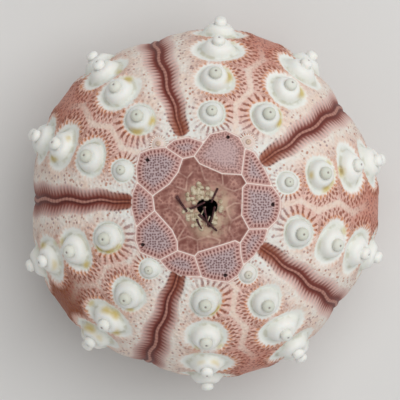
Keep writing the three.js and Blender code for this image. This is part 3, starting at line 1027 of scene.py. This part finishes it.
class Paint:
    """Short names for the nodes of one material."""

    def __init__(self, name, roughness, specular, glow=0.0):
        self.material = bpy.data.materials.new(name)
        self.material.use_nodes = True
        self.tree = self.material.node_tree
        self.shader = self.tree.nodes["Principled BSDF"]
        self.shader.inputs["Roughness"].default_value = roughness
        self.shader.inputs["Specular IOR Level"].default_value = specular
        self.shader.inputs["Subsurface Weight"].default_value = glow
        self.shader.inputs["Subsurface Radius"].default_value = GLOW_REACH
        self.shader.inputs["Subsurface Scale"].default_value = MM
        self.places = self.tree.nodes.new("ShaderNodeTexCoord").outputs["Object"]

    def put(self, socket, value):
        if isinstance(value, bpy.types.NodeSocket):
            self.tree.links.new(value, socket)
        else:
            socket.default_value = value

    def fact(self, name):
        node = self.tree.nodes.new("ShaderNodeAttribute")
        node.attribute_name = name
        return node.outputs["Fac"]

    def math(self, operation, first, second=0.0):
        node = self.tree.nodes.new("ShaderNodeMath")
        node.operation = operation
        self.put(node.inputs[0], first)
        self.put(node.inputs[1], second)
        return node.outputs[0]

    def times(self, *values):
        product = values[0]
        for value in values[1:]:
            product = self.math("MULTIPLY", product, value)
        return product

    def add(self, first, second):
        return self.math("ADD", first, second)

    def line(self, value, slope, start):
        """Straight-line function of a value."""
        return self.add(self.math("MULTIPLY", value, slope), start)

    def opposite(self, value):
        return self.math("SUBTRACT", 1.0, value)

    def step(self, value, low, high):
        """Smooth rise from 0 at low to 1 at high; low above high makes a fall."""
        node = self.tree.nodes.new("ShaderNodeMapRange")
        node.interpolation_type = "SMOOTHSTEP"
        falling = low > high
        self.put(node.inputs["Value"], value)
        node.inputs["From Min"].default_value = min(low, high)
        node.inputs["From Max"].default_value = max(low, high)
        node.inputs["To Min"].default_value = 1.0 if falling else 0.0
        node.inputs["To Max"].default_value = 0.0 if falling else 1.0
        return node.outputs["Result"]

    def window(self, value, low, rise, fall, high):
        return self.times(self.step(value, low, rise), self.step(value, high, fall))

    def mix(self, share, first, second):
        node = self.tree.nodes.new("ShaderNodeMix")
        node.data_type = "RGBA"
        colours = [socket for socket in node.inputs if socket.type == "RGBA"]
        self.put(node.inputs[0], share)
        self.put(colours[0], first)
        self.put(colours[1], second)
        return next(socket for socket in node.outputs if socket.type == "RGBA")

    def lay(self, base, cover, *shares):
        """Base colour covered by another, by the product of the shares."""
        return self.mix(self.times(*shares), base, cover)

    def noise(self, size, detail=2.0):
        """Noise whose features are about size millimetres wide."""
        node = self.tree.nodes.new("ShaderNodeTexNoise")
        node.inputs["Scale"].default_value = 1 / (size * MM)
        node.inputs["Detail"].default_value = detail
        self.put(node.inputs["Vector"], self.places)
        return node.outputs["Fac"]

    def cells(self, size, randomness=1.0, dimensions="3D"):
        """Distance from the middle of scattered cells, in cell sizes."""
        node = self.tree.nodes.new("ShaderNodeTexVoronoi")
        node.voronoi_dimensions = dimensions
        node.inputs["Scale"].default_value = 1 / (size * MM)
        node.inputs["Randomness"].default_value = randomness
        self.put(node.inputs["Vector"], self.places)
        return node.outputs["Distance"]

    def beads(self, along, outwards, pitch, middle, length, width):
        """Row of oval beads at one distance outwards, pitch apart; 1 in their middles."""
        share = self.math("SUBTRACT", self.math("FRACT", self.times(along, 1 / pitch)), 0.5)
        sideways = self.times(share, pitch / width)
        upwards = self.times(self.math("SUBTRACT", outwards, middle), 1 / length)
        squares = self.add(self.times(sideways, sideways), self.times(upwards, upwards))
        return self.step(squares, 1.6, 0.15)

    def bump(self, height, distance):
        node = self.tree.nodes.new("ShaderNodeBump")
        node.inputs["Distance"].default_value = distance * MM
        self.put(node.inputs["Height"], height)
        self.put(self.shader.inputs["Normal"], node.outputs["Normal"])

    def finish(self, base):
        self.put(self.shader.inputs["Base Color"], base)
        return self.material


def paint_fields(p, level):
    """White ground with pink washes, cream seams and small dots, and the rings of red-brown spots; rust brown
    with painted shade on the lower-left side.
    """
    inter, arc, gap = p.fact("inter"), p.fact("arc"), p.fact("gap")
    seam = p.math("ABSOLUTE", p.fact("seam"))
    mottle, fine = p.noise(1.8), p.noise(0.45)
    toward_middle = p.step(inter, 0.8, 0.35)
    lower = p.step(arc, 18.0, 28.0)
    # Lower-left side: rust-brown colour, and painted shade where less light falls.
    rust_and_shade = p.fact("rust_and_shade")
    ground = p.mix(p.step(mottle, 0.35, 0.75), CHALK, CREAM)
    ground = p.lay(ground, TAN, rust_and_shade, lower, toward_middle, 0.5)
    ground = p.lay(ground, MILK, p.step(arc, 17.0, 12.0), 0.75)
    ringed = p.times(p.window(level, 2.6, 2.9, 4.2, 5.0), p.line(toward_middle, 0.95, 0.03),
                     p.step(arc, 10.5, 14.0))
    ground = p.mix(ringed, ground, BLUSH)
    # Salmon wash that turns dark rust brown on the lower-left side, partly painted shade.
    washed = p.times(toward_middle, p.step(level, 3.0, 3.9), p.line(lower, 0.9, 0.1),
                     p.step(mottle, 0.0, 0.34))
    ground = p.mix(washed, ground, p.mix(rust_and_shade, SALMON, RUST_AND_SHADE_BROWN))

    dense = p.times(p.step(p.cells(0.5), 0.42, 0.24), p.step(level, 3.7, 4.2), p.step(inter, 0.6, 0.35))
    ground = p.lay(ground, p.mix(lower, SPOT_PINK, MAROON), dense, p.line(lower, 0.5, 0.3))
    sparse = p.times(p.step(p.cells(0.66), 0.38, 0.2), p.step(level, 2.95, 3.4), p.step(inter, 0.45, 0.7))
    dots = p.mix(p.step(mottle, 0.45, 0.6), DOT, DOT_MAUVE)
    ground = p.lay(ground, dots, sparse, 0.8)

    turn = p.math("ARCTAN2", p.fact("down"), p.fact("across"))
    wobble = p.line(p.noise(1.2), 0.22, -0.11)
    uneven = p.add(level, p.line(p.noise(0.9), 0.6, -0.3))
    # Spots fade low on the lower-left side, under the rust brown and painted shade.
    kept_off_rust_and_shade = p.line(p.times(rust_and_shade, p.step(arc, 25.0, 28.0)), -0.65, 1.0)
    strength = p.times(p.line(p.step(inter, 0.75, 0.4), 0.88, 0.12), p.step(gap, 0.06, 0.2),
                       p.step(fine, 0.15, 0.45), kept_off_rust_and_shade)
    pitch = 2 * math.pi / SPOTS
    crowded = p.line(p.fact("ripe"), MORE_SPOTS / SPOTS - 1, 1.0)
    along = p.add(p.times(p.add(turn, wobble), crowded), pitch / 2)
    faded = p.times(p.step(p.fact("down"), -0.5, -2.6), p.step(arc, 17.0, 12.0), 0.5)
    stagger = p.times(p.fact("ripe"), pitch / 2)
    for row, (middle, length, width, share, tint) in enumerate(SPOT_ROWS):
        if row:
            along = p.add(along, stagger)
        spots = p.beads(along, uneven, pitch, middle, length, width)
        ground = p.lay(ground, p.mix(faded, tint, DOT_MAUVE), spots, strength, share)
    pale = p.times(p.step(seam, 0.5, 0.22), p.step(level, 3.2, 3.7), p.step(arc, 29.0, 19.0),
                   p.step(fine, 0.2, 0.5))
    return p.lay(ground, CREAM, pale, p.line(rust_and_shade, -0.5, 0.85))


def paint_tubercle(p, ground, level):
    """White boss and areole, greyer mamelon, yellow stains in the crevices; painted shade on the slopes, in
    the crease at the boss foot, at the mamelon's neck and in its pin-hole.
    """
    young = p.step(p.fact("maturity"), 0.45, 0.1)
    cloud = p.noise(1.4)
    aged = p.mix(p.step(p.fact("arc"), 15.0, 22.0), MILK, WHITE)
    bare = p.lay(aged, BLUSH, young, 0.6)
    # Painted shade: grey-green tint all around the boss's lower slope and the areole, standing in for their
    # shading.
    bare = p.lay(bare, PAINTED_SLOPE_SHADE, p.window(level, 1.6, 2.0, 2.3, 2.7), 0.5)
    edge = p.add(level, p.line(p.noise(0.8), 0.8, -0.4))
    boss = p.mix(p.step(edge, 3.05, 2.55), ground, bare)
    stain = p.fact("stain")
    # Painted shade: patchy grey-olive darkening in the crease at the boss foot, and a thin painted shadow
    # ring at the mamelon's neck.
    crease_shade = p.times(p.window(level, 1.9, 2.05, 2.15, 2.4), p.step(cloud, 0.4, 0.65), 0.6)
    neck = p.times(p.window(level, 0.92, 1.02, 1.06, 1.16), 0.25)
    boss = p.mix(p.math("MAXIMUM", crease_shade, neck), boss, PAINTED_CREASE_SHADE)
    yellow = p.times(p.window(level, 1.4, 1.9, 2.4, 3.0), stain, p.step(cloud, 0.0, 0.5))
    boss = p.lay(boss, STAIN, yellow, 0.9)
    # Painted shadow: a broken dark brown line in the crevice at the boss foot of the listed tubercles.
    line = p.times(p.window(level, 1.88, 2.02, 2.15, 2.35), p.fact("brown"), p.step(p.noise(0.9), 0.3, 0.5))
    boss = p.lay(boss, BROWN_CREVICE_SHADOW, line, 0.7)
    mamelon = p.lay(PEARL, SPOT_TAN, young, 0.5)
    boss = p.lay(boss, mamelon, p.step(level, 1.06, 0.86), p.step(p.fact("arc"), 27.0, 17.0), 0.8)
    # Painted shade: the pin-hole of the mamelon is painted dark plum.
    return p.lay(boss, PLUM, p.step(level, 0.12, 0.05), 0.6)


def paint_band(p, ground):
    """Winding band: pale middle ridge, two maroon furrows, pink ribs that fade outwards, dark outer pores;
    flanks and furrows carry painted shade on the lower-left side.
    """
    across = p.math("ABSOLUTE", p.fact("band_across"))
    pairs, edge, arc = p.fact("band_pairs"), p.fact("band_edge"), p.fact("arc")
    slant = p.math("SUBTRACT", pairs, p.times(across, RIB_SLANT))
    rib = p.line(p.math("COSINE", p.times(slant, 2 * math.pi)), 0.5, 0.5)
    near_tip = p.step(arc, 17.0, BAND_TIP)
    flank = p.mix(p.step(across, 0.28, 0.95), BAND_FLANK, BAND_EDGE)
    flank = p.lay(flank, TIP_BROWN, near_tip, p.step(across, 1.2, 0.8), 0.9)
    flank = p.lay(flank, BAND_RIB, rib, p.step(across, 0.26, 0.6), p.line(near_tip, -0.5, 0.72))
    flank = p.lay(flank, MAROON, p.opposite(rib), p.step(across, 1.1, 0.3), p.line(near_tip, -0.3, 0.7))
    # Painted shade: the flanks are darker on the lower-left side, where less light falls.
    rust_and_shade = p.fact("rust_and_shade")
    flank = p.lay(flank, BAND_FLANK, rust_and_shade, p.step(across, 1.3, 0.5), 0.45)
    ragged = p.add(across, p.line(p.noise(0.7), 0.14, -0.07))
    # Furrows maroon, darkest on the lower-left side as painted shade.
    furrow = p.times(p.step(ragged, 0.37, 0.18), p.line(rib, -0.35, 1.0), p.line(rust_and_shade, 0.3, 0.7))
    band = p.mix(furrow, flank, BAND_DARK)
    ridge = p.lay(p.lay(BAND_RIDGE, TIP_BROWN, near_tip, 0.7), BAND_FLANK, p.opposite(rib), 0.4)
    band = p.lay(band, ridge, p.step(ragged, 0.14, 0.05), 0.9)
    pores = p.times(p.window(across, 0.74, 0.86, 1.0, 1.14), p.step(rib, 0.5, 0.2),
                    p.line(near_tip, 0.8, 0.1))
    band = p.mix(pores, band, BAND_DARK)
    return p.mix(p.step(edge, 1.22, 0.86), ground, band)


def paint_disc(p, ground):
    """Lilac plates with plum dots, cream sutures, a rose madreporite, the brown-pink membrane, and gonopores
    painted near black as shade.
    """
    disc, membrane, madreporite = p.fact("disc"), p.fact("membrane"), p.fact("madreporite")
    suture, fold, pore, vent = p.fact("suture"), p.fact("fold"), p.fact("pore"), p.fact("vent")
    cloud = p.noise(1.6)
    plate = p.mix(p.step(suture, 1.6, 0.4), LILAC, ROSE)
    plate = p.lay(plate, ROSE, madreporite, 0.4)
    dots = p.times(p.step(p.cells(0.38, 0.65, "2D"), 0.54, 0.18), p.step(suture, 1.15, 1.35),
                   p.opposite(madreporite))
    finer = p.times(p.step(p.cells(0.36, 0.8, "2D"), 0.5, 0.2), madreporite,
                    p.line(p.step(suture, 2.6, 0.7), 0.6, 0.4))
    plate = p.mix(p.add(p.times(dots, 0.75), p.times(finer, 0.5)), plate, PLUM)
    along = p.fact("along")
    for middle, length, width, pitch, tint in PLATE_ROWS:
        row = p.beads(along, suture, pitch, middle, length, width)
        plate = p.lay(plate, tint, row, p.line(madreporite, -0.5, 0.85))

    by_lines = p.times(p.step(p.math("MINIMUM", suture, fold), 1.1, 0.2), 0.6)
    rimmed = p.math("MAXIMUM", by_lines, p.step(cloud, 0.35, 0.65))
    bare = p.mix(rimmed, MEMBRANE_PINK, MEMBRANE_BROWN)
    speckle = p.times(p.step(p.cells(0.5, 0.8, "2D"), 0.5, 0.26), p.step(vent, 1.4, 3.2),
                      p.step(cloud, 0.65, 0.4))
    bare = p.lay(bare, EDGE_RED, speckle, 0.55)
    bare = p.lay(bare, MEMBRANE_TAN, p.step(vent, 3.2, 0.6), p.step(p.noise(0.7), 0.25, 0.6), 0.8)
    bare = p.lay(bare, FOLD, p.step(fold, 0.2, 0.02), p.step(p.noise(1.4), 0.25, 0.75), 0.6)
    plate = p.mix(membrane, plate, bare)
    plate = p.lay(plate, SUTURE, p.step(suture, 0.11, 0.0), 0.95)
    # Painted shade: the gonopore pits are painted near black, for the dark of a hole through the plate.
    plate = p.mix(p.step(pore, GONOPORE_RADIUS * 1.1, GONOPORE_RADIUS * 0.7), plate, PORE_SHADOW)
    return p.mix(disc, ground, plate)


def calcite():
    p = Paint("calcite", roughness=0.55, specular=0.4, glow=0.35)
    level = p.fact("level")
    surface = paint_fields(p, level)
    surface = paint_tubercle(p, surface, level)
    surface = paint_disc(p, paint_band(p, surface))
    surface = p.mix(p.fact("hollow"), surface, INSIDE)
    plain = p.times(p.step(level, 2.9, 3.4), p.step(p.fact("band_edge"), 0.95, 1.15),
                    p.opposite(p.fact("disc")))
    granules = p.times(p.step(p.cells(0.55), 0.7, 0.0), plain)
    p.bump(p.add(p.times(p.noise(0.3, 3.0), 0.3), granules), 0.09)
    return p.finish(surface)


def sliver_paint():
    p = Paint("dark_sliver", roughness=0.6, specular=0.2)
    return p.finish(p.mix(p.step(p.noise(0.25), 0.45, 0.75), SLIVER, SLIVER_EDGE))


def grain_paint():
    p = Paint("vent_grain", roughness=0.5, specular=0.4)
    return p.finish(p.mix(p.step(p.noise(0.5), 0.4, 0.65), GRAIN, GRAIN_SHADE))


# Studio, in metres: lights have their energy, size and place
FLOOR_SIZE = 3.0
FLOOR_GREYS = colour(222, 221, 219), colour(226, 225, 223)
KEY_LIGHT = (1.75, 0.5, (0.18, 0.14, 0.47))
FILL_LIGHT = (0.3, 0.6, (0.02, -0.34, 0.4))
LIGHT_TARGET = (0, 0, 0.015)
WORLD_LIGHT = 0.37


def make_floor():
    bpy.ops.mesh.primitive_plane_add(size=FLOOR_SIZE)
    floor = bpy.context.object
    floor.name = "floor"
    p = Paint("floor_paper", roughness=0.9, specular=0.2)
    p.finish(p.mix(p.noise(40.0), *FLOOR_GREYS))
    floor.data.materials.append(p.material)


def make_light(name, energy, size, place):
    data = bpy.data.lights.new(name, "AREA")
    data.energy = energy
    data.size = size
    light = bpy.data.objects.new(name, data)
    light.location = place
    light.rotation_euler = (Vector(LIGHT_TARGET) - Vector(place)).to_track_quat("-Z", "Y").to_euler()
    bpy.context.scene.collection.objects.link(light)


def make_camera():
    data = bpy.data.cameras.new("camera")
    data.sensor_width = 36.0
    data.lens = data.sensor_width * CAMERA_DISTANCE / (PHOTO_SIZE * PHOTO_SCALE)
    data.clip_end = 20.0
    camera = bpy.data.objects.new("camera", data)
    off_axis = (np.full(2, PHOTO_SIZE / 2) - PHOTO_AXIS) * PHOTO_SCALE
    camera.location = ((AXIS_X + off_axis[0]) * MM, -off_axis[1] * MM, (PHOTO_HEIGHT + CAMERA_DISTANCE) * MM)
    bpy.context.scene.collection.objects.link(camera)
    bpy.context.scene.camera = camera


def make_studio():
    make_floor()
    make_light("key", *KEY_LIGHT)
    make_light("fill", *FILL_LIGHT)
    world = bpy.data.worlds.new("studio")
    world.use_nodes = True
    background = world.node_tree.nodes["Background"]
    background.inputs["Color"].default_value = (1, 1, 1, 1)
    background.inputs["Strength"].default_value = WORLD_LIGHT
    bpy.context.scene.world = world
    bpy.context.scene.view_settings.view_transform = "Standard"


def place_piece(piece, paint, node=None):
    piece.data.materials.append(paint)
    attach(piece, "root")
    if node:
        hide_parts(node)


make_camera()
make_studio()
place_piece(make_test(), calcite(), "test")
draws = np.random.default_rng(5)
dark = sliver_paint()
for number, (start, end, thickness) in enumerate(SLIVERS, 1):
    splinter = make_sliver(f"splinter_{number}", start, end, thickness, draws)
    place_piece(splinter, dark, f"sliver_{number}")
pale = grain_paint()
place_piece(make_grains(draws), pale)
for number, (start, end, height, thickness) in enumerate(FLAKES, 1):
    ends = [(*from_photo(pixel), height) for pixel in (start, end)]
    place_piece(make_sliver(f"flake_{number}", *ends, thickness, draws), pale)
